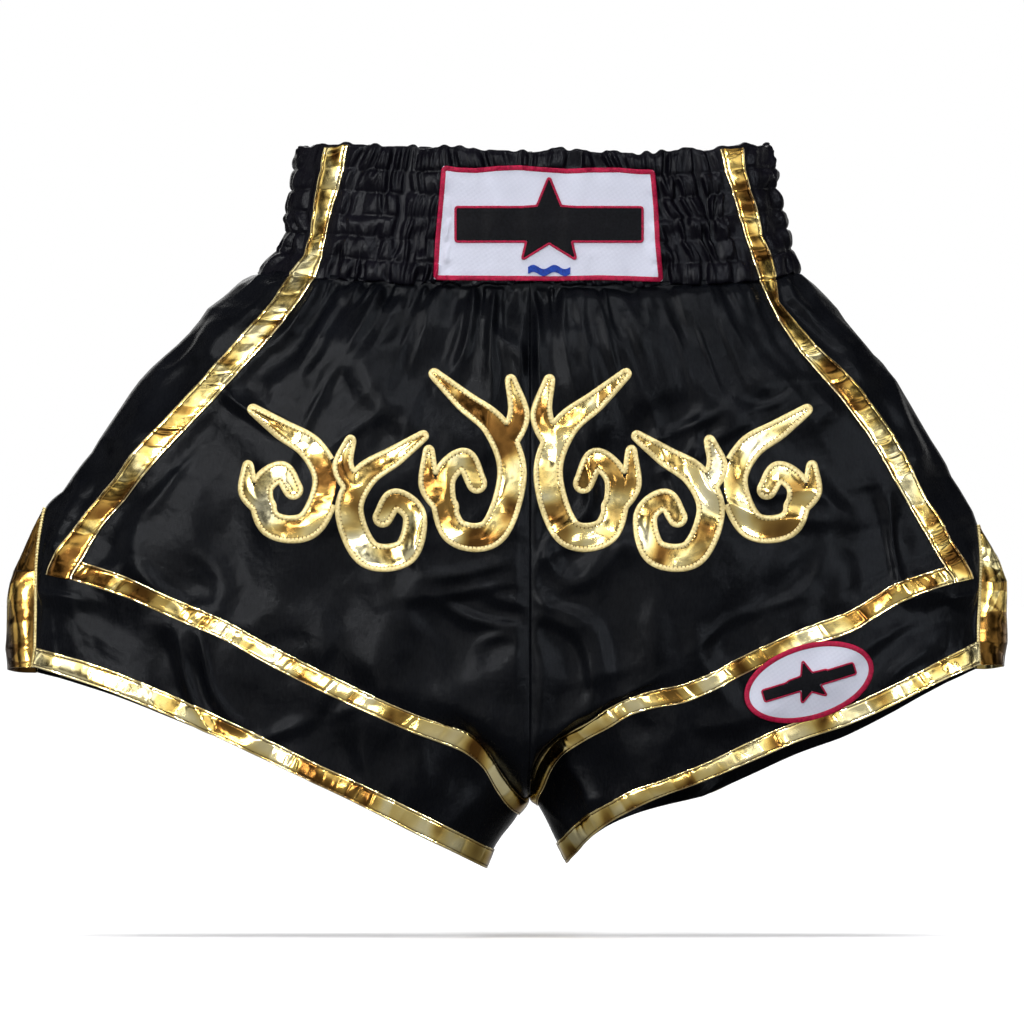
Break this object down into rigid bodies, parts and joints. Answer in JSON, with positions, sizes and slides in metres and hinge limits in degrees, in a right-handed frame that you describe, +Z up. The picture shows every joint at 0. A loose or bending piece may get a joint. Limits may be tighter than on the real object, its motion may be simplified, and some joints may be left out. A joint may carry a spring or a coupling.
{
  "type": "boxing shorts",
  "caption": "Black satin Muay Thai boxing shorts with a shirred elastic waistband, gold foil tapes, gold flame applique, side vents and a hinged leg on each side.",
  "frame": {"origin": "middle of the width and of the depth, level with the lowest hem corner", "axes": "+Z up as worn, -Y towards the front, +X towards the wearer's left"},
  "size_m": [0.6226, 0.1344, 0.4475],
  "materials": {
    "black_band": "black satin shirred over elastic in six channels",
    "black_satin": "black polyester satin, soft sheen, gathered",
    "black_thread": "black woven thread",
    "blue_thread": "blue woven thread",
    "cord_tip": "moulded plastic end",
    "gold_foil": "mirror-bright crinkled gold foil laminated on cloth",
    "gold_satin": "gold lame satin, softly crumpled",
    "gold_thread": "pale gold satin stitch, raised",
    "label_cloth": "plain blank satin label",
    "red_thread": "crimson overlocked patch edge",
    "white_cord": "flat braided cord",
    "white_elastic": "woven elastic",
    "white_weave": "white woven patch ground"
  },
  "bodies": {
    "seat": {"back_panel_left": "black_satin", "back_panel_right": "black_satin", "drawcord_loop": "white_cord", "flame_edging_a": "gold_thread", "flame_edging_b": "gold_thread", "flame_edging_c": "gold_thread", "flame_edging_d": "gold_thread", "flame_edging_e": "gold_thread", "flame_edging_f": "gold_thread", "flame_foil_a": "gold_foil", "flame_foil_b": "gold_foil", "flame_foil_c": "gold_foil", "flame_foil_d": "gold_foil", "flame_foil_e": "gold_foil", "flame_foil_f": "gold_foil", "front_panel_left": "black_satin", "front_panel_right": "black_satin", "side_tape_back_left_upper": "gold_foil", "side_tape_back_right_upper": "gold_foil", "side_tape_front_left_upper": "gold_foil", "side_tape_front_right_upper": "gold_foil", "size_label": "label_cloth", "waist_elastic": "white_elastic", "waist_patch_edging": "red_thread", "waist_patch_ground": "white_weave", "waist_patch_star": "black_thread", "waist_patch_wave": "blue_thread", "waistband_cover": "black_band", "waistband_facing": "black_band"},
    "leg_left": {"back_leg_panel_left": "black_satin", "front_leg_panel_left": "black_satin", "hem_tape_back_left": "gold_foil", "hem_tape_front_left": "gold_foil", "leg_patch_edging": "red_thread", "leg_patch_ground": "white_weave", "leg_patch_star": "black_thread", "mid_tape_back_left": "gold_foil", "mid_tape_front_left": "gold_foil", "side_tape_back_left_lower": "gold_foil", "side_tape_front_left_lower": "gold_foil", "side_vent_left": "gold_satin", "vent_binding_back_left": "gold_satin", "vent_binding_front_left": "gold_satin"},
    "leg_right": {"back_leg_panel_right": "black_satin", "front_leg_panel_right": "black_satin", "hem_tape_back_right": "gold_foil", "hem_tape_front_right": "gold_foil", "mid_tape_back_right": "gold_foil", "mid_tape_front_right": "gold_foil", "side_tape_back_right_lower": "gold_foil", "side_tape_front_right_lower": "gold_foil", "side_vent_right": "gold_satin", "vent_binding_back_right": "gold_satin", "vent_binding_front_right": "gold_satin"},
    "cord_end_left": {"drawcord_end_left": "white_cord", "drawcord_tip_left": "cord_tip"},
    "cord_end_right": {"drawcord_end_right": "white_cord", "drawcord_tip_right": "cord_tip"}
  },
  "joints": [
    {"name": "thigh_lift_left", "type": "hinge", "parent": "seat", "child": "leg_left", "pos_m": [0.01355, -0.06615, 0.08228], "axis": [-0.9047, 0, -0.426], "range_deg": [0, 40]},
    {"name": "thigh_lift_right", "type": "hinge", "parent": "seat", "child": "leg_right", "pos_m": [0.01355, -0.06615, 0.08228], "axis": [-0.9051, 0, 0.4253], "range_deg": [0, 40]},
    {"name": "cord_pull_left", "type": "slide", "parent": "seat", "child": "cord_end_left", "axis": [0, 0, -1], "range_m": [0, 0.05]},
    {"name": "cord_pull_right", "type": "slide", "parent": "seat", "child": "cord_end_right", "axis": [0, 0, -1], "range_m": [0, 0.05]}
  ]
}
